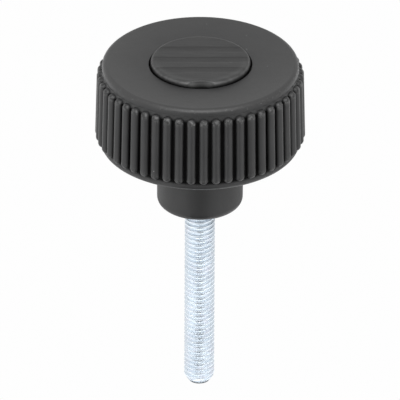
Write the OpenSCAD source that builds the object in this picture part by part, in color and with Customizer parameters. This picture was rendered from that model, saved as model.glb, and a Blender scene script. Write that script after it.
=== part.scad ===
// Knurled clamping knob with a threaded stud.
//
// A moulded knob body with half-round grip ribs and a hollow, webbed underside
// holds a hexagon-head screw, whose free thread is the stud. A snap-in cap
// covers the screw's head.
//
// Millimetres. The origin is the centre of the hub's seating face, where the
// stud leaves the knob. +Z runs up the axis to the cap, and the stud points down.

/* [Knob body] */
// Height from the hub's seating face to the top face
knob_h = 31.2; // [28:0.1:40]
// Diameter of the plain shoulder at the top face
shoulder_d = 38.4; // [36:0.1:50]
// Height of the skirt, from the top face down to its foot
skirt_h = 18; // [14:0.5:22]
// Draft of the skirt's walls, in degrees
skirt_draft = 1.35; // [0.5:0.05:3]
// Radius of the rounded rim round the top face
rim_r = 0.9; // [0.4:0.1:1.5]
// Depth by which the top face falls from its rim to the cap's recess
top_dish = 0.3; // [0:0.05:0.6]
// Radius of the rounding outside the skirt's foot
foot_r = 1.2; // [0.4:0.1:1.5]

/* [Grip ribs] */
// Number of grip ribs
rib_count = 51; // [30:1:56]
// Radius of a rib's half-round section
rib_r = 0.98; // [0.6:0.01:1.05]
// Plain shoulder left between the top face and the ribs
rib_top_gap = 1.95; // [1.6:0.05:4]
// Plain band left between the ribs and the skirt's foot
rib_foot_gap = 1.75; // [1.6:0.05:4]

/* [Hollow underside] */
// Thickness of the skirt's wall, between the ribs
skirt_wall = 2.2; // [1.8:0.1:3.5]
// Thickness of the top plate
plate_t = 3.6; // [3.2:0.1:6]
// Radius of the fillets in the hollow's ceiling
ceiling_fillet = 1; // [0.3:0.1:2]
// Radius of the rounding inside the skirt's foot
foot_inner_r = 0.4; // [0.2:0.1:0.5]
// Number of webs that tie the hub to the skirt
web_count = 6; // [3:1:10]
// Thickness of a web
web_t = 1.4; // [0.8:0.1:2.4]
// Distance from the skirt's foot up to the webs' rounded edges
web_setback = 2; // [0.5:0.1:5]

/* [Hub] */
// Diameter of the hub at its seating face, before its edge is rounded
hub_d = 16.8; // [16.4:0.1:22]
// Draft of the hub's outside, in degrees
hub_draft = 0.3; // [0.1:0.1:1]
// Radius of the rounding round the seating face
hub_edge_r = 1.6; // [0.5:0.1:3]
// Radial clearance between the screw's shank and the hub's bore
shank_clear = 0.05; // [0.02:0.01:0.2]
// Clearance on each side of the screw's head in its pocket
head_clear = 0.05; // [0.02:0.01:0.3]
// Free height above the screw's head in its pocket
head_slack = 0.6; // [0.2:0.1:2]

/* [Cover cap] */
// Diameter of the cap's disc
cap_d = 19.5; // [17:0.1:21]
// Thickness of the cap's disc
cap_t = 2; // [1.4:0.1:2.4]
// Height that the disc stands above the mouth of its recess
cap_proud = 0.4; // [0:0.05:0.6]
// Open gap between the disc's edge and the wall of its recess
cap_gap = 0.32; // [0.1:0.01:0.8]
// Radius of the disc's rounded edge
cap_edge_r = 0.3; // [0.1:0.05:0.8]
// Number of shallow grooves across the disc
groove_count = 3; // [1:1:4]
// Distance from one groove to the next
groove_pitch = 3.9; // [2.5:0.1:4.5]
// Width of a groove
groove_w = 1.9; // [0.5:0.1:2.2]
// Depth of a groove
groove_depth = 0.05; // [0.05:0.05:0.5]
// Distance of the middle groove from the disc's centre
groove_shift = 0.7; // [-2:0.1:2]
// Width of the pry notch at the disc's edge
notch_w = 6.4; // [3:0.1:7]
// Distance that the notch reaches in from the edge
notch_in = 1.5; // [0.6:0.05:1.8]
// Thickness of the disc left under the notch
notch_floor = 0.6; // [0.4:0.1:1]
// Lean of the notch's wall from upright, in degrees
notch_lean = 30; // [10:5:40]
// Radius of the rounding round the mouth of the cap's recess
recess_edge_r = 0.15; // [0.05:0.05:0.4]

/* [Cap snap ring] */
// Radial room by which the snap ring's bore passes the corners of the screw's head
head_pass = 0.73; // [0.2:0.01:1]
// Height of the ring under the disc
snap_h = 4.4; // [3:0.1:6]
// Thickness of the ring's wall
snap_wall = 1.1; // [0.8:0.1:1.6]
// Radial clearance between the ring and its bore
snap_clear = 0.2; // [0.1:0.05:0.3]
// Radius of the bead that holds the ring in its bore
bead_r = 0.45; // [0.35:0.05:0.6]
// Free height left under the ring
snap_end_gap = 0.4; // [0.2:0.1:1]
// Number of slots that split the ring into fingers
slot_count = 4; // [2:1:6]
// Width of a slot
slot_w = 1.6; // [0.6:0.1:2.5]

/* [Stud] */
// Free length of the stud below the seating face
stud_l = 40; // [10:1:60]
// Diameter over the crests of the M6 thread
thread_d = 5.92; // [5.8:0.01:5.97]
// Diameter of the plain shank in the hub
shank_d = 6; // [5.98:0.01:6.2]
// Length over which the thread runs out into the shank
runout_l = 1; // [0.8:0.1:2]
// Depth of the chamfer at the stud's tip
tip_chamfer = 0.94; // [0.4:0.01:1.2]
// Length of that chamfer along the stud
tip_chamfer_l = 1.4; // [0.4:0.1:2]
// Width of the hexagon head across its flats
head_af = 10; // [8:0.1:10.6]
// Height of the hexagon head
head_h = 4; // [2.5:0.1:6]
// Angle of the chamfer on the head's corners, in degrees
head_chamfer = 30; // [15:1:40]

/* [Hidden] */

// Facets of curves when the model is shown as a mesh
$fn = 96;
// Length by which a cut runs past the face it starts on
cut_over = 1;
// Height of each rib's flat above the rib's edges, and its depth in the wall
flat_land = 0.01;
flat_depth = 0.5;
// Angle between two neighbouring ribs
rib_step = 360 / rib_count;
// Angle that sets one rib almost square to the front, in degrees from +X
rib_phase = -88.4;

// Radii at the top face and at the seating face
shoulder_r = shoulder_d / 2;
hub_r = hub_d / 2;
bore_r = shank_d / 2 + shank_clear;

// Heights above the seating face
foot_z = knob_h - skirt_h;
ceiling_z = knob_h - plate_t;
mouth_z = knob_h - top_dish;
recess_z = mouth_z + cap_proud - cap_t;
pocket_top_z = recess_z - snap_h - snap_end_gap;
seat_z = pocket_top_z - head_slack - head_h;
web_z = foot_z + web_setback;

// Flat under each rib: its rise over the round wall, and its width
flat_rise = shoulder_r - sqrt(pow(shoulder_r, 2) - pow(rib_r, 2)) + flat_land;
flat_w = 2 * sqrt(2 * skirt_r(foot_z) * flat_rise) + 2 * flat_land;

// Cap and the bores that take it
cap_r = cap_d / 2;
recess_r = cap_r + cap_gap;
head_corner_r = head_af / 2 / cos(30);
snap_bore_r = head_corner_r + head_pass;
snap_r = snap_bore_r - snap_clear;
bead_z = recess_z - snap_h + 2 * bead_r;
slot_top_z = recess_z - snap_wall;
groove_r = snap_r + bead_r + snap_clear;

// Radius of the skirt's outer wall at height z
function skirt_r(z) = shoulder_r + (knob_h - z) * tan(skirt_draft);
// Radius of the skirt's inner wall at height z
function hollow_r(z) = skirt_r(z) - skirt_wall;
// Radius of the hub's wall at height z
function hub_wall_r(z) = hub_r + z * tan(hub_draft);

// Corners of an outline are [x, y, rounding radius], listed counter-clockwise.
function corner(c, i) = [c[i][0], c[i][1]];
function previous(c, i) = corner(c, (i + len(c) - 1) % len(c));
function following(c, i) = corner(c, (i + 1) % len(c));
function unit(v) = v / norm(v);
function to_previous(c, i) = unit(previous(c, i) - corner(c, i));
function to_following(c, i) = unit(following(c, i) - corner(c, i));
function half_angle(c, i) = acos(to_previous(c, i) * to_following(c, i)) / 2;
function is_convex(c, i) = cross(to_following(c, i), to_previous(c, i)) > 0;
function tangent_l(c, i) = c[i][2] / tan(half_angle(c, i));
function tangent_in(c, i) = corner(c, i) + to_previous(c, i) * tangent_l(c, i);
function tangent_out(c, i) = corner(c, i) + to_following(c, i) * tangent_l(c, i);
function arc_centre(c, i) =
    corner(c, i) + unit(to_previous(c, i) + to_following(c, i)) * c[i][2] / sin(half_angle(c, i));

// The sliver between the chord and the arc of a rounded corner
module corner_arc(c, i) {
    intersection() {
        polygon([tangent_in(c, i), corner(c, i), tangent_out(c, i)]);
        translate(arc_centre(c, i)) circle(r = c[i][2]);
    }
}

// Outline through the corners, with true arcs at those that have a radius
module rounded_outline(c) {
    rounded = [for (i = [0:len(c) - 1]) if (c[i][2] > 0) i];
    path = [for (i = [0:len(c) - 1]) each (c[i][2] > 0 ? [tangent_in(c, i), tangent_out(c, i)] : [corner(c, i)])];
    difference() {
        union() {
            polygon(path);
            for (i = rounded) if (is_convex(c, i)) corner_arc(c, i);
        }
        for (i = rounded) if (!is_convex(c, i)) corner_arc(c, i);
    }
}

// Half section of the body, turned round the axis: hub, top plate and skirt,
// with the cap's recess, its bore and the bead's groove
module body_section() {
    difference() {
        rounded_outline([
            [bore_r, 0, 0],
            [hub_r, 0, hub_edge_r],
            [hub_wall_r(ceiling_z), ceiling_z, ceiling_fillet],
            [hollow_r(ceiling_z), ceiling_z, ceiling_fillet],
            [hollow_r(foot_z), foot_z, foot_inner_r],
            [skirt_r(foot_z), foot_z, foot_r],
            [shoulder_r, knob_h, rim_r],
            [recess_r, mouth_z, recess_edge_r],
            [recess_r, recess_z, 0],
            [snap_bore_r, recess_z, 0],
            [snap_bore_r, pocket_top_z, 0],
            [bore_r, pocket_top_z, 0]
        ]);
        translate([snap_r, bead_z]) circle(r = bead_r + snap_clear);
    }
}

// One grip rib: a round bar with round ends, half sunk in the wall. It stands
// on a flat that just covers the wall's curve, so the two meet in straight lines.
// The half turn puts the bar's seam inside the wall.
module rib() {
    low_z = foot_z + rib_foot_gap + rib_r;
    high_z = knob_h - rib_top_gap - rib_r;
    bar_l = (high_z - low_z) / cos(skirt_draft);
    flat_l = bar_l + 2 * rib_r + rib_top_gap / 2;
    translate([skirt_r(low_z), 0, low_z]) rotate([0, -skirt_draft, 0]) {
        rotate([0, 0, 180]) rotate_extrude() intersection() {
            union() {
                translate([-rib_r, 0]) square([2 * rib_r, bar_l]);
                circle(r = rib_r);
                translate([0, bar_l]) circle(r = rib_r);
            }
            translate([0, -rib_r]) square([rib_r, bar_l + 2 * rib_r]);
        }
        translate([-flat_depth, -flat_w / 2, (bar_l - flat_l) / 2])
            cube([flat_depth + flat_rise, flat_w, flat_l]);
    }
}

// One web from the hub to the skirt, with a rounded lower edge
module web() {
    start_r = (hub_r + groove_r) / 2;
    web_l = hollow_r(ceiling_z) + skirt_wall / 2 - start_r;
    translate([start_r, -web_t / 2, web_z + web_t / 2])
        cube([web_l, web_t, ceiling_z - web_z + plate_t / 4]);
    translate([start_r, 0, web_z + web_t / 2]) rotate([0, 90, 0])
        cylinder(d = web_t, h = web_l);
}

// Hexagonal prism with the given width across its flats
module hexagon(across_flats, height) {
    cylinder(d = across_flats / cos(30), h = height, $fn = 6);
}

module knob_body() {
    color("#3c3d3f")
    difference() {
        union() {
            rotate_extrude() body_section();
            for (i = [0:rib_count - 1]) rotate(rib_phase + i * rib_step) rib();
            for (i = [0:web_count - 1]) rotate(i * 360 / web_count) web();
        }
        translate([0, 0, seat_z])
            hexagon(head_af + 2 * head_clear, pocket_top_z - seat_z + cut_over);
    }
}

// Half section of the cap, turned round the axis: disc, snap ring and bead
module cap_section() {
    union() {
        rounded_outline([
            [0, recess_z, 0],
            [cap_r, recess_z, 0],
            [cap_r, recess_z + cap_t, cap_edge_r],
            [0, recess_z + cap_t, 0]
        ]);
        translate([snap_r - snap_wall, recess_z - snap_h]) square([snap_wall, snap_h]);
        translate([snap_r, bead_z]) circle(r = bead_r);
    }
}

// Round bite with a leaning wall out of the disc's front edge, where a blade lifts the cap
module pry_notch() {
    notch_r = (pow(notch_w, 2) / 4 + pow(notch_in, 2)) / (2 * notch_in);
    notch_depth = cap_t - notch_floor;
    translate([0, notch_in - cap_r - notch_r, recess_z + notch_floor])
        cylinder(
            r1 = notch_r - notch_depth * tan(notch_lean),
            r2 = notch_r + cut_over * tan(notch_lean),
            h = notch_depth + cut_over
        );
}

module cover_cap() {
    color("#3f4042")
    difference() {
        rotate_extrude() cap_section();
        for (i = [0:groove_count - 1])
            translate([-cap_d / 2 - cut_over,
                       groove_shift + (i - (groove_count - 1) / 2) * groove_pitch - groove_w / 2,
                       recess_z + cap_t - groove_depth])
                cube([cap_d + 2 * cut_over, groove_w, groove_depth + cut_over]);
        pry_notch();
        for (i = [0:slot_count - 1])
            rotate(i * 360 / slot_count)
                translate([0, -slot_w / 2, recess_z - snap_h - cut_over])
                    cube([snap_bore_r + bead_r, slot_w, slot_top_z - recess_z + snap_h + cut_over]);
    }
}

// Half section of the screw, turned round the axis: head blank, shank and thread
module stud_section() {
    thread_r = thread_d / 2;
    polygon([
        [0, -stud_l],
        [thread_r - tip_chamfer, -stud_l],
        [thread_r, tip_chamfer_l - stud_l],
        [thread_r, 0],
        [shank_d / 2, runout_l],
        [shank_d / 2, seat_z + head_h / 2],
        [0, seat_z + head_h / 2]
    ]);
}

// Cone-topped blank that chamfers the corners of the hexagon
module head_blank() {
    flat_r = head_af / 2;
    drop = (head_corner_r - flat_r) * tan(head_chamfer);
    rotate_extrude() polygon([
        [0, seat_z],
        [head_corner_r + drop, seat_z],
        [head_corner_r + drop, seat_z + head_h - drop - drop * tan(head_chamfer)],
        [flat_r, seat_z + head_h],
        [0, seat_z + head_h]
    ]);
}

module threaded_stud() {
    color("#c9ced3")
    union() {
        rotate_extrude() stud_section();
        intersection() {
            translate([0, 0, seat_z]) hexagon(head_af, head_h);
            head_blank();
        }
    }
}

knob_body();
cover_cap();
threaded_stud();
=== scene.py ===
"""Looks of the knurled knob: its moulded plastic body and cap, and its zinc-plated M6 screw."""

import math

import bmesh
import bpy
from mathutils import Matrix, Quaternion, Vector


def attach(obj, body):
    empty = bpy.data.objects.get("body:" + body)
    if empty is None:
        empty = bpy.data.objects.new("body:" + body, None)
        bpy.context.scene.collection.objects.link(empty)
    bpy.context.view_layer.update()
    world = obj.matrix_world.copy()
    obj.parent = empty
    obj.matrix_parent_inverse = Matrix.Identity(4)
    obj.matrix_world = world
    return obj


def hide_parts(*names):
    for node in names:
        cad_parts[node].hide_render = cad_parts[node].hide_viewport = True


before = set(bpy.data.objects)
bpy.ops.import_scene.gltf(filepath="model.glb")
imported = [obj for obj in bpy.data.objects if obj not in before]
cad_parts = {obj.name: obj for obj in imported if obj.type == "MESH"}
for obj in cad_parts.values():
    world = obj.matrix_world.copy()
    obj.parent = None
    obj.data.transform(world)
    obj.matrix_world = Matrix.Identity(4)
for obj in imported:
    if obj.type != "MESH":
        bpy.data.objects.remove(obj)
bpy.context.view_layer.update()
MM = 0.001
SHARP_ANGLE = math.radians(35)


# ---------------------------------------------------------------- node graphs

class Graph:
    """The nodes of a material or of the world, with one short call for each kind that the looks use."""

    def __init__(self, tree):
        self.nodes = tree.nodes
        self.links = tree.links
        self.nodes.clear()

    def feed(self, socket, value):
        """Give a socket a number, a colour or another node's output."""
        if isinstance(value, tuple):
            socket.default_value = (*value, 1)
        elif isinstance(value, (int, float)):
            socket.default_value = value
        else:
            self.links.new(value, socket)

    def node(self, kind, output=None, **inputs):
        """A new node with its inputs fed. Gives the output of that name, or the node itself."""
        made = self.nodes.new(kind)
        for name, value in inputs.items():
            self.feed(made.inputs[name.replace("_", " ")], value)
        return made.outputs[output] if output else made

    def noise(self, place, size_mm, detail=2.0, rough=0.5):
        """Noise whose blobs are about size_mm across."""
        made = self.node("ShaderNodeTexNoise", Vector=place, Detail=detail, Roughness=rough)
        self.feed(made.inputs["Scale"], 1 / (size_mm * MM))
        return made.outputs["Fac"]

    def spread(self, value, limits, low=0, high=1):
        """value mapped from its limits to low and high, and kept between them."""
        start, end = limits
        made = self.node("ShaderNodeMapRange", Value=value, From_Min=start, From_Max=end)
        self.feed(made.inputs["To Min"], low)
        self.feed(made.inputs["To Max"], high)
        return made.outputs["Result"]

    def spread_mm(self, value, limits, low=0, high=1):
        """The same for a value in metres between limits in millimetres."""
        return self.spread(value, (limits[0] * MM, limits[1] * MM), low, high)

    def maths(self, operation, *values):
        made = self.nodes.new("ShaderNodeMath")
        made.operation = operation
        for socket, value in zip(made.inputs, values):
            self.feed(socket, value)
        return made.outputs["Value"]

    def product(self, first, *others):
        for other in others:
            first = self.maths("MULTIPLY", first, other)
        return first

    def mixed(self, factor, a, b):
        """Colour a where factor is 0 and b where it is 1."""
        made = self.nodes.new("ShaderNodeMix")
        made.data_type = "RGBA"
        for name, value in (("Factor", factor), ("A", a), ("B", b)):
            self.feed(made.inputs[name], value)
        return made.outputs["Result"]

    def blended(self, factor, a, b):
        """Shader a where factor is 0 and b where it is 1."""
        made = self.node("ShaderNodeMixShader", Fac=factor)
        self.feed(made.inputs[1], a)
        self.feed(made.inputs[2], b)
        return made.outputs["Shader"]

    def bump(self, height, depth_mm, below=None):
        """A normal raised by height, on top of the relief below it."""
        made = self.node("ShaderNodeBump", Height=height, Strength=1.0, Distance=depth_mm * MM)
        if below is not None:
            self.feed(made.inputs["Normal"], below)
        return made.outputs["Normal"]

    def stretched(self, place, scale):
        made = self.nodes.new("ShaderNodeMapping")
        made.inputs["Scale"].default_value = scale
        self.feed(made.inputs["Vector"], place)
        return made.outputs["Vector"]

    def split(self, place):
        """X, Y, Z of a place and its distance from the knob's axis."""
        parts = self.node("ShaderNodeSeparateXYZ", Vector=place)
        x, y, z = (parts.outputs[name] for name in "XYZ")
        away = self.maths("SQRT", self.maths("ADD", self.product(x, x), self.product(y, y)))
        return x, y, z, away


def new_material(name):
    """A material, its graph, its Principled shader and the object's own coordinates."""
    mat = bpy.data.materials.new(name)
    mat.use_nodes = True
    g = Graph(mat.node_tree)
    shader = g.node("ShaderNodeBsdfPrincipled")
    g.node("ShaderNodeOutputMaterial", Surface=shader.outputs["BSDF"])
    return mat, g, shader, g.node("ShaderNodeTexCoord", "Object")


# ---------------------------------------------------------------- black plastic

# Sizes and depths are in millimetres. NOISE_CORE is the range that most of a noise lies in.
NOISE_CORE = (0.3, 0.7)
GRAIN_MM = 0.22
GRAIN_DEPTH = 0.012
GRAIN_TINT = 0.35
GRAIN_LIFT = 1.5
GRAIN_ROUGH = (-0.05, 0.07)
CLOUD_MM = 5.0
CLOUD_RANGE = (0.35, 0.65)
WAVE_MM = 2.2
WAVE_DEPTH = 0.02
SPECK_MM = 1.3
SPECK_SIZE = (0.05, 0.10)
SPECK_CHOICE = (0.93, 0.96)
SPECK_TONE = (0.22, 0.22, 0.22)
# The next tone is a painted sheen, lighter towards the top face's rim.
PAINTED_SHEEN_TONE = (0.030, 0.030, 0.030)
STREAK_TONE = (0.018, 0.018, 0.018)
# A pale tone, for scuffs that are partly painted highlights on the rib ends and the rim, and for the
# painted highlight on the cap's edge.
PALE_WEAR_AND_HIGHLIGHT_TONE = (0.075, 0.075, 0.075)
# Black, for painted shade: in the valleys between the ribs, on the groove floors and in the gap under the
# cap.
PAINTED_SHADE_BLACK = (0.001, 0.001, 0.001)
PLASTIC_IOR = 1.5
GLOSS = 0.5
# The gloss where shade is painted.
HOLLOW_GLOSS = 0.05


def plastic(name, dark, light, roughness, seed, shaded):
    """Glass-filled polyamide: dark grey, a fine mould grain, faint flow clouds and a few pale specks.

    shaded gives the colour and the gloss where light and shade are painted: a sheen on the top face,
    highlights among pale scuffs, and shade in the grooves, between the ribs and in the gap under the cap.
    """
    mat, g, shader, origin = new_material(name)
    moved = g.node("ShaderNodeMapping", Vector=origin)
    moved.inputs["Location"].default_value = (seed, seed * 0.7, 0)
    at = moved.outputs["Vector"]

    grain = g.noise(at, GRAIN_MM, 3.0, 0.6)
    base = g.mixed(g.spread(g.noise(at, CLOUD_MM), CLOUD_RANGE), dark, light)
    base = g.mixed(g.spread(grain, NOISE_CORE, 0, GRAIN_TINT), base, tuple(GRAIN_LIFT * c for c in light))

    specks = g.node("ShaderNodeTexVoronoi", Vector=at, Scale=1 / (SPECK_MM * MM))
    near = g.spread(specks.outputs["Distance"], SPECK_SIZE, 1, 0)
    drawn = g.node("ShaderNodeSeparateColor", "Red", Color=specks.outputs["Color"])
    base = g.mixed(g.product(near, g.spread(drawn, SPECK_CHOICE)), base, SPECK_TONE)

    base, gloss = shaded(g, origin, base)
    g.feed(shader.inputs["Base Color"], base)
    g.feed(shader.inputs["Specular IOR Level"], gloss)
    low, high = (roughness + step for step in GRAIN_ROUGH)
    g.feed(shader.inputs["Roughness"], g.spread(grain, NOISE_CORE, low, high))
    g.feed(shader.inputs["IOR"], PLASTIC_IOR)
    waves = g.bump(g.noise(at, WAVE_MM, 1.0), WAVE_DEPTH)
    g.feed(shader.inputs["Normal"], g.bump(grain, GRAIN_DEPTH, waves))
    return mat


# ---------------------------------------------------------------- shades of the body

# A pair is the range over which a shade fades in or out, in millimetres. Z is the height above the hub's
# seat, R the distance from the axis, and H the height above the tapered wall that the ribs stand on.
SHOULDER_R = 19.2
KNOB_H = 31.2
DRAFT = math.tan(math.radians(1.35))
# The sheen values place a painted sheen on the top face: lighter towards the rim, weaker at the back and
# the right.
SHEEN_R = (9.8, 19.0)
SHEEN_Z = (30.2, 30.8)
SHEEN_BACK = (17, 0)
SHEEN_SLANT = 0.6
SHEEN_LEAST = 0.45
# The next two values place the painted shade in the valleys between the ribs.
VALLEY_H = (0.1, 0.75)
WALL_H = (-1.0, -0.5)
RIB_FOOT_Z = (14.6, 15.1)
RIB_HEAD_Z = (28.4, 29.0)
# The next values place pale scuffs on both ends of the ribs and on the rim, partly wear and partly
# painted highlights.
PALE_MARK_H = (0.35, 0.6)
HEAD_MARK_Z = (27.6, 28.5)
HEAD_MARK_END_Z = (29.0, 29.3)
FOOT_MARK_Z = (15.4, 16.6)
FOOT_MARK = 0.6
PALE_MARK_MM = 0.55
RIB_MARK_RANGE = (0.45, 0.62)
RIM_MARK_RANGE = (0.58, 0.68)
RIM_Z = (30.3, 30.5)
RIM_END_Z = (30.9, 31.1)
RIM_H = (-1.0, -0.8)


def painted_top_sheen(g, x, y, z, away):
    """Painted sheen: 0 beside the cap's recess, rising to 1 on the top face near its rim, and weaker at
    the back and the right.
    """
    back = g.maths("ADD", y, g.product(x, SHEEN_SLANT))
    painted_sheen = g.product(g.spread_mm(away, SHEEN_R), g.spread_mm(back, SHEEN_BACK, SHEEN_LEAST, 1))
    return g.product(painted_sheen, g.spread_mm(z, SHEEN_Z))


def painted_valley_shade(g, z, height):
    """Painted shade: 1 in the valleys between the grip ribs, which it darkens, and 0 on their crests and
    everywhere else.
    """
    deep = g.spread_mm(height, VALLEY_H, 1, 0)
    above = g.spread_mm(z, RIB_FOOT_Z)
    below = g.spread_mm(z, RIB_HEAD_Z, 1, 0)
    return g.product(deep, above, below, g.spread_mm(height, WALL_H))


def pale_scuffs_and_highlights(g, place, z, height):
    """1 on pale scuffs at both ends of the ribs and along the rim: partly wear from handling, partly
    painted highlights.
    """
    heads = g.product(g.spread_mm(z, HEAD_MARK_Z), g.spread_mm(z, HEAD_MARK_END_Z, 1, 0))
    ends = g.maths("MAXIMUM", heads, g.spread_mm(z, FOOT_MARK_Z, FOOT_MARK, 0))
    ribs = g.product(g.spread_mm(height, PALE_MARK_H), ends)
    rim = g.product(g.spread_mm(z, RIM_END_Z, 1, 0), g.spread_mm(height, RIM_H))
    rim = g.product(g.spread_mm(z, RIM_Z), rim)
    scuffs = g.noise(place, PALE_MARK_MM, 3.0, 0.7)
    ribs = g.product(ribs, g.spread(scuffs, RIB_MARK_RANGE))
    rim = g.product(rim, g.spread(scuffs, RIM_MARK_RANGE))
    return g.maths("MAXIMUM", ribs, rim)


def body_shades(g, place, base):
    """Painted sheen on the top face, pale scuffs that are partly painted highlights on the ribs and the
    rim, and painted shade in the valleys between the ribs.
    """
    x, y, z, away = g.split(place)
    wall = g.maths("MULTIPLY_ADD", z, -DRAFT, (SHOULDER_R + KNOB_H * DRAFT) * MM)
    height = g.maths("SUBTRACT", away, wall)
    # Painted sheen on the top face.
    base = g.mixed(painted_top_sheen(g, x, y, z, away), base, PAINTED_SHEEN_TONE)
    # Pale scuffs, partly painted highlights.
    base = g.mixed(pale_scuffs_and_highlights(g, place, z, height), base, PALE_WEAR_AND_HIGHLIGHT_TONE)
    # Painted shade darkens the valleys between the ribs and dulls their gloss.
    valleys = painted_valley_shade(g, z, height)
    return g.mixed(valleys, base, PAINTED_SHADE_BLACK), g.spread(valleys, (0, 1), GLOSS, HOLLOW_GLOSS)


# ---------------------------------------------------------------- shades of the cap

# The cap's sizes, in millimetres. Its mesh is made from them further down.
CAP_R = 9.75
DISC_Z = 29.3
FACE_Z = 31.95
EDGE_R = 0.8
GROOVES = 3
GROOVE_PITCH = 4.15
GROOVE_W = 2.1
GROOVE_SHIFT = -0.28
GROOVE_DEPTH = 0.02
NOTCH_HALF = 3.3
NOTCH_IN = 1.1
NOTCH_EDGE_R = 0.35
NOTCH_LEAN = math.tan(math.radians(16))

# Its shades: a pair is the range over which one fades in or out, as on the body.
FACE_SHADE_Z = (31.8, 31.9)
# The groove values place painted shade on the groove floors, darkest at each back edge.
GROOVE_FADE = 1.3
GROOVE_STEP = 0.05
GROOVE_DARK = 0.6
GROOVE_DULL = 0.09
STREAK_MM = 0.6
STREAK_STRETCH = (0.12, 1, 1)
STREAK_RANGE = (0.35, 0.7)
# The next values place a painted highlight on the cap's edge and, weaker, on its face behind the front
# edge.
EDGE_HIGHLIGHT_Z = (31.9, 31.66)
FRONT_HIGHLIGHT_Y = (1.0, -4.0)
FRONT_HIGHLIGHT_R = (7.8, 9.0)
FRONT_HIGHLIGHT_SHARE = 0.4
HIGHLIGHT_LEAST = 0.4
EDGE_SHADE_R = (8.7, 9.1)
EDGE_SHADE_Z = (31.88, 31.93)
# The hollow values paint shade into the gap under the cap's edge, darker with depth.
HOLLOW_Z = (31.3, 30.6)
HOLLOW_R = (9.3, 9.7)
HOLLOW_DROP = -0.25
HOLLOW_DARK = 0.92
CAP_GLOSS_Y = (9, -9)
CAP_GLOSS = (0.49, 0.53)


def painted_groove_shade(g, y, z):
    """Painted shade: 1 at the back edge of each groove, fading over its floor to the front, and 0 between
    grooves.
    """
    steps = g.maths("MULTIPLY_ADD", y, 1 / (GROOVE_PITCH * MM), -GROOVE_SHIFT / GROOVE_PITCH)
    last = GROOVES // 2
    nearest = g.maths("MINIMUM", g.maths("MAXIMUM", g.maths("ROUND", steps), -last), last)
    off = g.maths("SUBTRACT", steps, nearest)
    half = GROOVE_W / GROOVE_PITCH / 2
    floors = g.spread(off, (-GROOVE_FADE * half, half))
    floors = g.product(floors, g.spread(off, (half, half + GROOVE_STEP), 1, 0))
    return g.product(floors, g.spread_mm(z, FACE_SHADE_Z))


def painted_edge_highlight(g, y, z, away, streaks):
    """Painted highlight: 1 on the rounded edge of the cap, and weaker on its face just behind the front
    edge.
    """
    front = g.product(g.spread_mm(y, FRONT_HIGHLIGHT_Y, 0, FRONT_HIGHLIGHT_SHARE), g.spread_mm(away, FRONT_HIGHLIGHT_R))
    highlight = g.maths("MAXIMUM", g.spread_mm(z, EDGE_HIGHLIGHT_Z), front)
    highlight = g.product(highlight, g.spread(streaks, NOISE_CORE, HIGHLIGHT_LEAST, 1))
    outside = g.maths("MAXIMUM", g.spread_mm(away, EDGE_SHADE_R), g.spread_mm(z, EDGE_SHADE_Z))
    return g.product(highlight, outside)


def cap_shades(g, place, base):
    """Dull groove floors darkened by painted shade, mould marks along them, a painted highlight on the
    edge, and painted shade in the gap under the edge.
    """
    y, z, away = g.split(place)[1:]
    bands = painted_groove_shade(g, y, z)
    streaks = g.noise(g.stretched(place, STREAK_STRETCH), STREAK_MM, 3.0)
    base = g.mixed(g.spread(streaks, STREAK_RANGE), base, STREAK_TONE)
    # Painted shade on the groove floors.
    base = g.mixed(g.product(bands, GROOVE_DARK), base, PAINTED_SHADE_BLACK)
    # Painted highlight on the cap's edge.
    base = g.mixed(painted_edge_highlight(g, y, z, away, streaks), base, PALE_WEAR_AND_HIGHLIGHT_TONE)
    # Painted shade in the gap under the edge, darker with depth, with duller gloss there.
    sunk = g.maths("ADD", z, g.spread_mm(away, HOLLOW_R, 0, HOLLOW_DROP * MM))
    hollow = g.spread_mm(sunk, HOLLOW_Z, 0, HOLLOW_DARK)
    gloss = g.maths("SUBTRACT", g.spread_mm(y, CAP_GLOSS_Y, *CAP_GLOSS), g.product(bands, GROOVE_DULL))
    gloss = g.product(gloss, g.spread(hollow, (0, 1), 1, HOLLOW_GLOSS))
    return g.mixed(hollow, base, PAINTED_SHADE_BLACK), gloss


# ---------------------------------------------------------------- zinc plating

ZINC_DARK = (0.72, 0.79, 0.86)
ZINC_LIGHT = (0.83, 0.90, 0.96)
ZINC_WARM = (0.84, 0.82, 0.90)
ZINC_CLOUD_MM = 3.0
ZINC_HUE_MM = 1.6
ZINC_HUE_RANGE = (0.5, 0.75)
ZINC_WARMTH = 0.4
ZINC_MARK_MM = 0.9
ZINC_MARK_STRETCH = (1, 1, 4)
ZINC_MARK_DEPTH = 0.003
ZINC_ROUGHNESS = (0.41, 0.48)


def zinc():
    """Bright bluish zinc plating, with faint clouds of the passivation and fine rolling marks."""
    mat, g, shader, at = new_material("zinc_plating")
    clouds = g.noise(at, ZINC_CLOUD_MM, 3.0)
    base = g.mixed(g.spread(clouds, NOISE_CORE), ZINC_DARK, ZINC_LIGHT)
    hue = g.noise(at, ZINC_HUE_MM)
    base = g.mixed(g.spread(hue, ZINC_HUE_RANGE, 0, ZINC_WARMTH), base, ZINC_WARM)
    marks = g.noise(g.stretched(at, ZINC_MARK_STRETCH), ZINC_MARK_MM)
    g.feed(shader.inputs["Base Color"], base)
    g.feed(shader.inputs["Metallic"], 1.0)
    g.feed(shader.inputs["Roughness"], g.spread(marks, NOISE_CORE, *ZINC_ROUGHNESS))
    g.feed(shader.inputs["Normal"], g.bump(marks, ZINC_MARK_DEPTH))
    return mat


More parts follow.
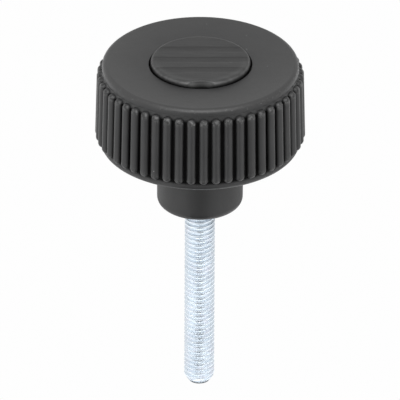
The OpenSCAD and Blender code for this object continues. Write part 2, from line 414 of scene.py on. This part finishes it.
BODY_DARK = (0.010, 0.0102, 0.0105)
BODY_LIGHT = (0.014, 0.0142, 0.0145)
CAP_DARK = (0.007, 0.0072, 0.0074)
CAP_LIGHT = (0.010, 0.0102, 0.0104)
BODY_ROUGHNESS = 0.42
CAP_ROUGHNESS = 0.43
CAP_SEED = 0.05
body_plastic = plastic("moulded_body", BODY_DARK, BODY_LIGHT, BODY_ROUGHNESS, 0.0, body_shades)
cap_plastic = plastic("moulded_cap", CAP_DARK, CAP_LIGHT, CAP_ROUGHNESS, CAP_SEED, cap_shades)
zinc_steel = zinc()

body_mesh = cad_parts["knob_body"].data
body_mesh.materials.clear()
body_mesh.materials.append(body_plastic)


# ---------------------------------------------------------------- meshes

def on_circle(r, angle, z):
    """A point at a distance from the knob's axis."""
    return r * math.cos(angle), r * math.sin(angle), z


def made_object(bm, name, mat):
    """An object from a closed mesh in millimetres, smooth but for its sharp edges."""
    bmesh.ops.recalc_face_normals(bm, faces=bm.faces)
    for v in bm.verts:
        v.co *= MM
    mesh = bpy.data.meshes.new(name)
    bm.to_mesh(mesh)
    bm.free()
    mesh.shade_smooth()
    mesh.set_sharp_from_angle(angle=SHARP_ANGLE)
    mesh.materials.append(mat)
    obj = bpy.data.objects.new(name, mesh)
    bpy.context.scene.collection.objects.link(obj)
    return obj


def share_between(low, high, value):
    """0 up to low, 1 from high, and a straight line between them."""
    return min(max((value - low) / (high - low), 0.0), 1.0)


def smooth_step(low, high, value):
    share = share_between(low, high, value)
    return share * share * (3 - 2 * share)


# ---------------------------------------------------------------- screw with its M6 thread

# Millimetres. The crest's flat is a share of half the pitch, and the roundings are shares of the way
# down from the crest to the root.
PITCH = 1.0
CREST_R = 2.96
ROOT_R = 2.40
CREST_FLAT = 0.19
CREST_ROUND = 0.12
ROOT_ROUND = 0.78
ROOT_SLOPE = 0.45
SHANK_R = 3.0
SHANK_Z = 1.5
RUN_OUT_Z = (0.0, 1.0)
TIP_Z = -40.0
TIP_R = 2.02
TIP_L = 1.4
LEAST_R = 0.5
SEAT_Z = 19.9
HEAD_H = 4.0
HEAD_AF = 10.0
SEGMENTS = 96
STEPS = 16
WELD = 0.0005
ON_PLANE = 1e-4
THIRTY = math.radians(30)


def thread_radius(turn):
    """Radius of the thread at a share of the pitch: a flat crest, 60 degree flanks and a round root."""
    flank = (CREST_R - ROOT_R) * math.tan(THIRTY) / PITCH
    from_crest = abs((turn % 1.0) - 0.5) * 2
    down = share_between(CREST_FLAT, CREST_FLAT + 2 * flank, from_crest)
    if down < CREST_ROUND:
        down = down * down / (2 * CREST_ROUND)
    else:
        down = down - CREST_ROUND / 2
    if down > ROOT_ROUND:
        down = ROOT_ROUND + (down - ROOT_ROUND) * ROOT_SLOPE
    return CREST_R - (CREST_R - ROOT_R) * down


def screw_radius(z, turn):
    """The thread, run out into the shank at the top and cut by the cone of the tip."""
    radius = thread_radius(turn)
    radius += (SHANK_R - radius) * share_between(*RUN_OUT_Z, z)
    cone = TIP_R + (z - TIP_Z) * (CREST_R - TIP_R) / TIP_L
    return min(radius, max(cone, LEAST_R))


def thread_surface(bm):
    """The helix as one strip wound round the axis, with at least half a turn to spare at both ends."""
    rows = (math.ceil((SHANK_Z - TIP_Z) / PITCH) + 2) * STEPS
    start = TIP_Z - 1.5 * PITCH
    grid = []
    for i in range(rows + 1):
        row = []
        for j in range(SEGMENTS):
            z = start + (i / STEPS + j / SEGMENTS) * PITCH
            point = on_circle(screw_radius(z, i / STEPS), 2 * math.pi * j / SEGMENTS, z)
            row.append(bm.verts.new(point))
        grid.append(row)
    for i in range(rows):
        for j in range(SEGMENTS - 1):
            bm.faces.new((grid[i][j], grid[i][j + 1], grid[i + 1][j + 1], grid[i + 1][j]))
        if i + STEPS + 1 <= rows:
            bm.faces.new((grid[i][-1], grid[i + STEPS][0], grid[i + STEPS + 1][0], grid[i + 1][-1]))


def cut_level(bm, z, side):
    """Cut off what lies beyond a level: above it where side is 1, and below it where side is -1."""
    geom = bm.verts[:] + bm.edges[:] + bm.faces[:]
    bmesh.ops.bisect_plane(bm, geom=geom, plane_co=(0, 0, z), plane_no=(0, 0, side), clear_outer=True)


def open_edges(bm, z):
    return [e for e in bm.edges if e.is_boundary and abs(e.verts[0].co.z - z) < ON_PLANE]


def hexagon_head(bm):
    """The head, with its corners chamfered by a cone, from the shank's own radius outwards."""
    flat = HEAD_AF / 2
    rings = [[] for _ in range(4)]
    for j in range(SEGMENTS):
        angle = 2 * math.pi * j / SEGMENTS
        side = flat / math.cos((angle % (math.pi / 3)) - math.pi / 6)
        drop = (side - flat) * math.tan(THIRTY)
        section = (
            (side, SEAT_Z),
            (side, SEAT_Z + HEAD_H - drop),
            (flat, SEAT_Z + HEAD_H),
            (SHANK_R, SEAT_Z),
        )
        for ring, (r, z) in zip(rings, section):
            ring.append(bm.verts.new(on_circle(r, angle, z)))
    for low, high in ((0, 1), (1, 2), (3, 0)):
        for j in range(SEGMENTS):
            k = (j + 1) % SEGMENTS
            bm.faces.new((rings[low][j], rings[low][k], rings[high][k], rings[high][j]))
    bm.faces.new(rings[2])


def threaded_screw():
    bm = bmesh.new()
    thread_surface(bm)
    cut_level(bm, TIP_Z, -1)
    cut_level(bm, SHANK_Z, 1)
    loose = [v for v in bm.verts if not v.link_faces]
    bmesh.ops.delete(bm, geom=loose, context="VERTS")
    bmesh.ops.remove_doubles(bm, verts=bm.verts, dist=WELD)

    bmesh.ops.contextual_create(bm, geom=open_edges(bm, TIP_Z))
    for v in bmesh.ops.extrude_edge_only(bm, edges=open_edges(bm, SHANK_Z))["geom"]:
        if isinstance(v, bmesh.types.BMVert):
            v.co.z = SEAT_Z
    hexagon_head(bm)
    obj = made_object(bm, "m6_screw", zinc_steel)
    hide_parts("threaded_stud")
    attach(obj, "root")


threaded_screw()


# ---------------------------------------------------------------- cover cap

# Millimetres, beside the cap's sizes above.
DISC_SEGMENTS = 216
FACE_STEPS = 44
EDGE_STEPS = 8
GROOVE_SOFT = 0.15
NOTCH_SOFT = 0.5
LEAN_Z = 30.4
RING_R = 6.3
RING_WALL = 1.1
RING_LOW = 24.9
BEAD_R = 0.45
BEAD_STEPS = 8
SLOTS = 4
SLOT_W = 1.6
FINGER_STEPS = 24


def cap_edge(angle):
    """The disc's radius at an angle from the front, and the share of the pry notch that cuts it there."""
    notch_r = (NOTCH_HALF ** 2 + NOTCH_IN ** 2) / (2 * NOTCH_IN)
    centre = CAP_R + notch_r - NOTCH_IN
    reach = centre * abs(math.sin(angle))
    if math.cos(angle) < 0 or reach >= notch_r:
        return CAP_R, 0.0
    radius = min(centre * math.cos(angle) - math.sqrt(notch_r ** 2 - reach ** 2), CAP_R)
    return radius, smooth_step(0.0, NOTCH_SOFT, CAP_R - radius)


def face_z(y):
    """Height of the disc's face, with its shallow grooves from left to right."""
    steps = (y - GROOVE_SHIFT) / GROOVE_PITCH
    last = GROOVES // 2
    nearest = min(max(round(steps), -last), last)
    off = abs(steps - nearest) * GROOVE_PITCH
    side = GROOVE_W / 2
    return FACE_Z - GROOVE_DEPTH * (1 - smooth_step(side - GROOVE_SOFT, side + GROOVE_SOFT, off))


def cap_column(angle):
    """Points of the disc from near its centre to its underside, at an angle from the front."""
    radius, notch = cap_edge(angle)
    edge_r = EDGE_R + (NOTCH_EDGE_R - EDGE_R) * notch
    lean = NOTCH_LEAN * notch
    across, along = math.sin(angle), -math.cos(angle)
    flat = radius - edge_r
    points = []
    for i in range(1, FACE_STEPS + 1):
        r = flat * i / FACE_STEPS
        points.append((r * across, r * along, face_z(r * along)))
    rim = face_z(flat * along)
    for i in range(1, EDGE_STEPS + 1):
        bend = (math.pi / 2 - math.atan(lean)) * i / EDGE_STEPS
        r = flat + edge_r * math.sin(bend)
        points.append((r * across, r * along, rim - edge_r * (1 - math.cos(bend))))
    low = points[-1][2]
    for z in (LEAN_Z, DISC_Z):
        out = min(r + lean * (low - z), CAP_R)
        points.append((out * across, out * along, z))
    return points


def cap_disc(bm):
    columns = []
    for j in range(DISC_SEGMENTS):
        columns.append([bm.verts.new(p) for p in cap_column(2 * math.pi * j / DISC_SEGMENTS)])
    top = bm.verts.new((0, 0, face_z(0)))
    bottom = bm.verts.new((0, 0, DISC_Z))
    for a, b in zip(columns, columns[1:] + columns[:1]):
        bm.faces.new((top, a[0], b[0]))
        bm.faces.new((bottom, b[-1], a[-1]))
        for i in range(len(a) - 1):
            bm.faces.new((a[i], a[i + 1], b[i + 1], b[i]))


def snap_fingers(bm):
    """The ring under the disc, split by its slots into fingers, each with its bead."""
    bead_z = RING_LOW + 2 * BEAD_R
    section = [(RING_R - RING_WALL, DISC_Z), (RING_R - RING_WALL, RING_LOW), (RING_R, RING_LOW)]
    for i in range(BEAD_STEPS + 1):
        turn = math.pi * (i / BEAD_STEPS - 0.5)
        section.append((RING_R + BEAD_R * math.cos(turn), bead_z + BEAD_R * math.sin(turn)))
    section.append((RING_R, DISC_Z))
    gap = SLOT_W / 2 / RING_R
    length = 2 * math.pi / SLOTS - 2 * gap
    for k in range(SLOTS):
        arcs = []
        for j in range(FINGER_STEPS + 1):
            angle = 2 * math.pi * k / SLOTS + gap + length * j / FINGER_STEPS
            arcs.append([bm.verts.new(on_circle(r, angle, z)) for r, z in section])
        for a, b in zip(arcs, arcs[1:]):
            for i in range(len(section)):
                after = (i + 1) % len(section)
                bm.faces.new((a[i], a[after], b[after], b[i]))
        bm.faces.new(arcs[0])
        bm.faces.new(arcs[-1])


def cap():
    bm = bmesh.new()
    cap_disc(bm)
    snap_fingers(bm)
    obj = made_object(bm, "snap_in_cap", cap_plastic)
    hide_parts("cover_cap")
    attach(obj, "root")


cap()


# ---------------------------------------------------------------- floor

# The floor's tone by the azimuth seen from the knob, in degrees: 0 is the camera's side and 90 the right.
# It is painted light and shade, seen only in reflections and bounce light: dark in front and behind,
# brightest to the front left and front right.
FLOOR_TONES = (
    (-180, 0.40), (-150, 0.40), (-128, 0.68), (-90, 0.88), (-45, 1.0), (-22, 0.88), (0, 0.34),
    (22, 0.78), (45, 0.95), (90, 0.70), (130, 0.35), (180, 0.40),
)
# Colours of the patches: painted light, painted shade in front of the knob, and a painted contact shadow.
FLOOR_BRIGHT = (0.98, 0.98, 0.98)
FLOOR_FRONT_SHADE = (0.02, 0.02, 0.02)
FLOOR_CONTACT_SHADOW = (0.1, 0.1, 0.1)
FLOOR_ROUGHNESS = 0.9
FLOOR_SIZE = 6.0
BACKDROP = (0.99, 0.99, 0.99)
# Its patches of painted light and shade: where each starts and is full, in millimetres from the axis or
# in radians of azimuth.
BEHIND_R = (95, 125)
BEHIND_Y = (0, 50)
CLOSE_R = (70, 55)
RIGHT_AZIMUTH = (0.45, 0.75)
CENTRE_AZIMUTH = (0.68, 0.42)
TIP_RING_R = (12, 3)
# A painted contact shadow round the tip.
CONTACT_R = (2.6, 2.2)


def floor_light_and_shade(g, at):
    """Painted light and shade: bright on both sides of the camera and behind the knob, dark straight in
    front of it, and a painted contact shadow round the tip.
    """
    x, y, _, away = g.split(at)
    azimuth = g.maths("ARCTAN2", x, g.product(y, -1))
    tones = g.node("ShaderNodeValToRGB", Fac=g.spread(azimuth, (-math.pi, math.pi)))
    stops = tones.color_ramp.elements
    while len(stops) < len(FLOOR_TONES):
        stops.new(0.5)
    for stop, (degrees, tone) in zip(stops, FLOOR_TONES):
        stop.position = (degrees + 180) / 360
        stop.color = (tone, tone, tone, 1)
    close = g.spread_mm(away, CLOSE_R)
    patches = (
        (g.product(g.spread_mm(away, BEHIND_R), g.spread_mm(y, BEHIND_Y)), FLOOR_BRIGHT),
        (g.product(close, g.spread(azimuth, RIGHT_AZIMUTH)), FLOOR_BRIGHT),
        (g.product(close, g.spread(g.maths("ABSOLUTE", azimuth), CENTRE_AZIMUTH)), FLOOR_FRONT_SHADE),
        (g.spread_mm(away, TIP_RING_R), FLOOR_BRIGHT),
        (g.spread_mm(away, CONTACT_R), FLOOR_CONTACT_SHADOW),
    )
    tone = tones.outputs["Color"]
    for patch, colour in patches:
        tone = g.mixed(patch, tone, colour)
    return tone


def floor():
    """A white sweep under the tip. The camera sees it evenly white, and from below it is clear."""
    bm = bmesh.new()
    bmesh.ops.create_grid(bm, x_segments=1, y_segments=1, size=FLOOR_SIZE)
    mesh = bpy.data.meshes.new("floor")
    bm.to_mesh(mesh)
    bm.free()
    obj = bpy.data.objects.new("floor", mesh)
    obj.location = (0, 0, TIP_Z * MM)
    bpy.context.scene.collection.objects.link(obj)

    mat, g, shader, at = new_material("pale_floor")
    # The floor's colour is painted light and shade: reflections and bounce light see it, the camera does
    # not.
    g.feed(shader.inputs["Base Color"], floor_light_and_shade(g, at))
    g.feed(shader.inputs["Roughness"], FLOOR_ROUGHNESS)
    g.feed(shader.inputs["Specular IOR Level"], 0.0)
    white = g.node("ShaderNodeEmission", "Emission", Color=BACKDROP)
    clear = g.node("ShaderNodeBsdfTransparent", "BSDF")
    by_camera = g.node("ShaderNodeLightPath", "Is Camera Ray")
    from_below = g.node("ShaderNodeNewGeometry", "Backfacing")
    lit = g.blended(by_camera, shader.outputs["BSDF"], white)
    out = next(n for n in g.nodes if n.type == "OUTPUT_MATERIAL")
    g.feed(out.inputs["Surface"], g.blended(from_below, lit, clear))
    mesh.materials.append(mat)


# ---------------------------------------------------------------- studio light and camera

# The studio's patches, each over the ones before it. The angles, in degrees, are the azimuth and the
# elevation of its middle, and how far from there it ends and is full.
WALLS = (0.74, 0.74, 0.74)
PATCHES = (
    ("left wall", -90, 0, 150, 30, (0.92, 0.92, 0.92)),
    ("lamp overhead", 0, 42, 40, 15, (4.0, 4.0, 4.0)),
    ("space round the camera", 0, 0, 28, 10, (0.3, 0.3, 0.3)),
)
AZIMUTH = -0.45
ELEVATION = 29.4
ROLL = math.radians(0.25)
AIM = Vector((0.017 * MM, 0, 0.4 * MM))
DISTANCE = 3.0
VIEW_WIDTH = 0.0784
SENSOR = 36
CLIP = (0.1, 50)


def direction(azimuth, elevation):
    """A unit vector, from degrees: azimuth 0 is the front and 90 the right."""
    a, e = math.radians(azimuth), math.radians(elevation)
    return Vector((math.sin(a) * math.cos(e), -math.cos(a) * math.cos(e), math.sin(e)))


def toward(g, place, azimuth, elevation, far, near):
    """1 within near degrees of a direction and 0 beyond far degrees of it."""
    dot = g.nodes.new("ShaderNodeVectorMath")
    dot.operation = "DOT_PRODUCT"
    dot.inputs[1].default_value = direction(azimuth, elevation)
    g.feed(dot.inputs[0], place)
    return g.spread(dot.outputs["Value"], (math.cos(math.radians(far)), math.cos(math.radians(near))))


def surroundings():
    """A pale studio with its patches. The camera sees it evenly white."""
    world = bpy.data.worlds.new("studio")
    world.use_nodes = True
    g = Graph(world.node_tree)
    place = g.node("ShaderNodeTexCoord", "Generated")
    colour = WALLS
    for label, azimuth, elevation, far, near, tone in PATCHES:
        patch = toward(g, place, azimuth, elevation, far, near)
        patch.node.label = label
        colour = g.mixed(patch, colour, tone)
    colour = g.mixed(g.node("ShaderNodeLightPath", "Is Camera Ray"), colour, BACKDROP)
    back = g.node("ShaderNodeBackground", "Background", Color=colour)
    g.node("ShaderNodeOutputWorld", Surface=back)
    bpy.context.scene.world = world


def camera():
    """A long lens, in front of the knob and above it."""
    line = direction(AZIMUTH, ELEVATION)
    data = bpy.data.cameras.new("camera")
    data.sensor_width = SENSOR
    data.lens = SENSOR * DISTANCE / VIEW_WIDTH
    data.clip_start, data.clip_end = CLIP
    obj = bpy.data.objects.new("camera", data)
    obj.location = AIM + line * DISTANCE
    obj.rotation_euler = (line.to_track_quat("Z", "Y") @ Quaternion((0, 0, 1), ROLL)).to_euler()
    bpy.context.scene.collection.objects.link(obj)
    bpy.context.scene.camera = obj


floor()
surroundings()
camera()
bpy.context.scene.view_settings.view_transform = "Standard"
